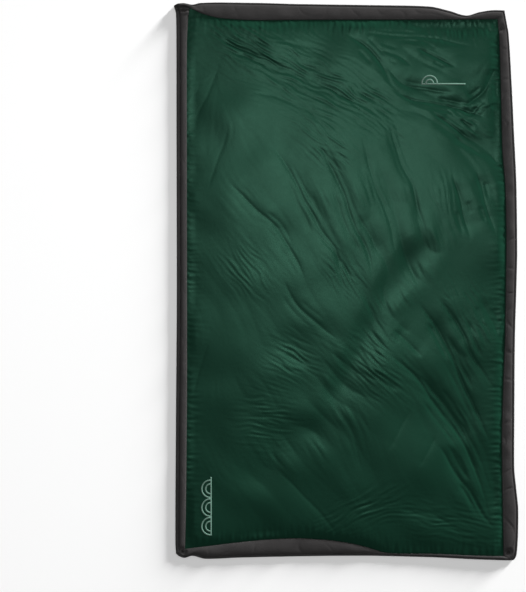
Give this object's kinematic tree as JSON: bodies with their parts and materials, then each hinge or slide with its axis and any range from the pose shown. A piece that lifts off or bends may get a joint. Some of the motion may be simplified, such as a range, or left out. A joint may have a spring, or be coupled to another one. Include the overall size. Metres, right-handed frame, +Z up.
{
  "type": "camp quilt",
  "caption": "Insulated camp quilt lying flat, with a smooth face panel, border bands, bound edges and corner press studs; it folds in half across its middle.",
  "frame": {"origin": "under the middle of the quilt, on the ground it lies on", "axes": "+Z up out of the face panel, +Y towards the head edge, +X towards the right edge seen from above"},
  "size_m": [1.248, 2.03, 0.0243],
  "materials": {
    "face_fabric": "dark green calendered nylon taffeta, soft sheen",
    "band_fabric": "charcoal woven nylon, matt",
    "lining_fabric": "charcoal nylon taffeta, soft sheen",
    "binding": "near-black woven edge binding, matt",
    "insulation": "white bonded synthetic batting",
    "snap": "black oxide press stud, satin",
    "print_film": "sage heat-transfer film, matt",
    "thread": "black polyester sewing thread"
  },
  "bodies": {
    "foot_half": {"lining_foot": "lining_fabric", "insulation_foot": "insulation", "face_panel_foot": "face_fabric", "left_band_foot": "band_fabric", "right_band_foot": "band_fabric", "left_binding_foot": "binding", "right_binding_foot": "binding", "foot_band": "band_fabric", "foot_binding": "binding", "foot_right_snap_cap": "snap", "foot_right_snap_socket": "snap", "foot_left_snap_stud": "snap", "foot_left_snap_post": "snap", "lower_print": "print_film"},
    "head_half": {"lining_head": "lining_fabric", "insulation_head": "insulation", "face_panel_head": "face_fabric", "left_band_head": "band_fabric", "right_band_head": "band_fabric", "left_binding_head": "binding", "right_binding_head": "binding", "head_band": "band_fabric", "head_binding": "binding", "head_right_snap_cap": "snap", "head_right_snap_socket": "snap", "head_left_snap_stud": "snap", "head_left_snap_post": "snap", "upper_print": "print_film"}
  },
  "joints": [
    {"name": "fold_in_half", "type": "hinge", "parent": "foot_half", "child": "head_half", "pos_m": [0, 0, 0.027], "axis": [1, 0, 0], "range_deg": [0, 180]}
  ]
}
